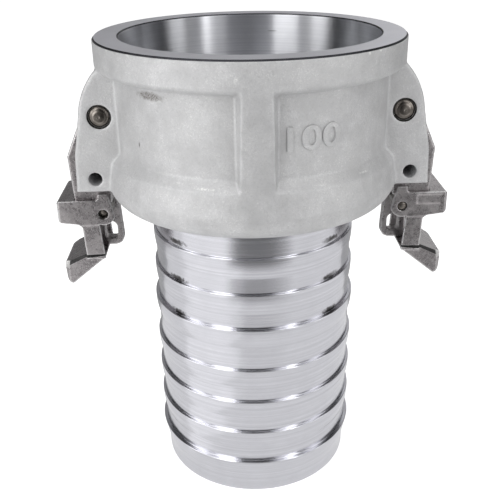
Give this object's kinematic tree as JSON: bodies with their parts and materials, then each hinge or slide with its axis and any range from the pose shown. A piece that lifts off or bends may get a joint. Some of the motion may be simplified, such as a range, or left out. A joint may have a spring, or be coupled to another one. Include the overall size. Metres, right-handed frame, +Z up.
{
  "type": "cam and groove coupler",
  "caption": "Cast aluminium cam and groove coupler with self-locking steel cam levers and a long ridged hose shank.",
  "frame": {"origin": "centre of the shank's end face, at the bottom of the coupler", "axes": "+Z up the bore axis towards the socket's mouth, +X towards the right-hand lever, -Y towards the front"},
  "size_m": [0.1896, 0.1438, 0.228],
  "materials": {
    "cast_aluminium": "sand cast, machined in the socket and on its mouth",
    "turned_aluminium": "turned, bright",
    "cast_steel": "investment cast, satin",
    "turned_steel": "turned",
    "spring_steel": "drawn wire",
    "gasket_rubber": "matt"
  },
  "bodies": {
    "coupler": {"coupler_body": "cast_aluminium", "hose_shank": "turned_aluminium", "face_gasket": "gasket_rubber", "right_arm_pin": "turned_steel", "left_arm_pin": "turned_steel"},
    "right_lever": {"right_cam_arm": "cast_steel", "right_latch_pin": "turned_steel", "right_latch_spring": "spring_steel"},
    "left_lever": {"left_cam_arm": "cast_steel", "left_latch_pin": "turned_steel", "left_latch_spring": "spring_steel"},
    "right_release": {"right_latch": "cast_steel"},
    "left_release": {"left_latch": "cast_steel"}
  },
  "joints": [
    {"name": "right_lever_swing", "type": "hinge", "parent": "coupler", "child": "right_lever", "pos_m": [0.0693, 0, 0.1948], "axis": [0, -1, 0], "range_deg": [0, 110]},
    {"name": "left_lever_swing", "type": "hinge", "parent": "coupler", "child": "left_lever", "pos_m": [-0.0693, 0, 0.1948], "axis": [0, 1, 0], "range_deg": [0, 110]},
    {"name": "right_latch_press", "type": "hinge", "parent": "right_lever", "child": "right_release", "pos_m": [0.0728, 0, 0.1455], "axis": [0, 1, 0], "range_deg": [0, 22], "stiffness_Nm_per_rad": 0.35, "springref_deg": -20.05, "deforming": ["right_latch_spring"]},
    {"name": "left_latch_press", "type": "hinge", "parent": "left_lever", "child": "left_release", "pos_m": [-0.0728, 0, 0.1455], "axis": [0, -1, 0], "range_deg": [0, 22], "stiffness_Nm_per_rad": 0.35, "springref_deg": -20.05, "deforming": ["left_latch_spring"]}
  ]
}
